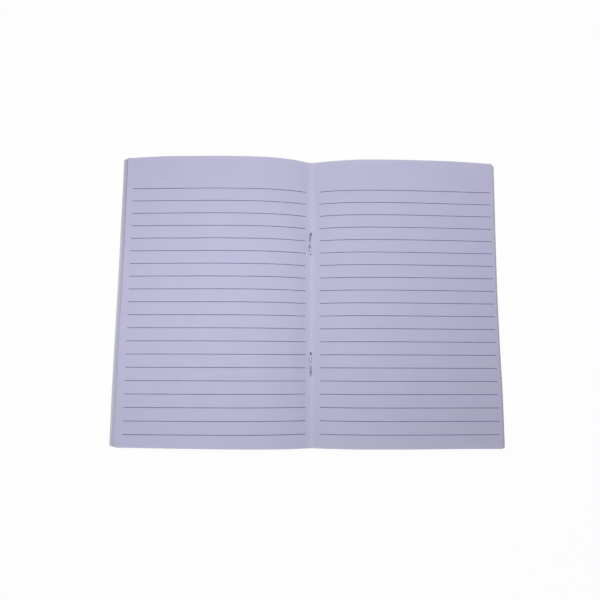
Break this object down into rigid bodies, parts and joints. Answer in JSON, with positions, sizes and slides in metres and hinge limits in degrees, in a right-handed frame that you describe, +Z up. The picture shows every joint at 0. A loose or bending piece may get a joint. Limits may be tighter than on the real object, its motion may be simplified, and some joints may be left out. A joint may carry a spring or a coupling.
{
  "type": "open composition notebook",
  "caption": "Thin wire-stitched composition notebook lying open at its centre spread, with ruled pages arching up from the fold over a soft card cover.",
  "frame": {"origin": "on the table under the fold, halfway up the page, which is the bottom centre of the bounding box", "axes": "+X across the spread to the right page, +Y up the page to its head, +Z up from the table"},
  "size_m": [0.2428, 0.181, 0.0105],
  "materials": {
    "cover_card": "matt uncoated card",
    "page_paper": "matt lavender writing paper",
    "ruling_ink": "matt printed line",
    "staple_wire": "drawn bright wire"
  },
  "bodies": {
    "right_half": {"back_cover": "cover_card", "right_pages": "page_paper", "right_ruling": "ruling_ink", "upper_staple": "staple_wire", "lower_staple": "staple_wire"},
    "left_half": {"front_cover": "cover_card", "left_pages": "page_paper", "left_ruling": "ruling_ink"}
  },
  "joints": [
    {"name": "spine_fold", "type": "hinge", "parent": "right_half", "child": "left_half", "pos_m": [0, 0, 0.00311], "axis": [0, 1, 0], "range_deg": [0, 145]}
  ]
}
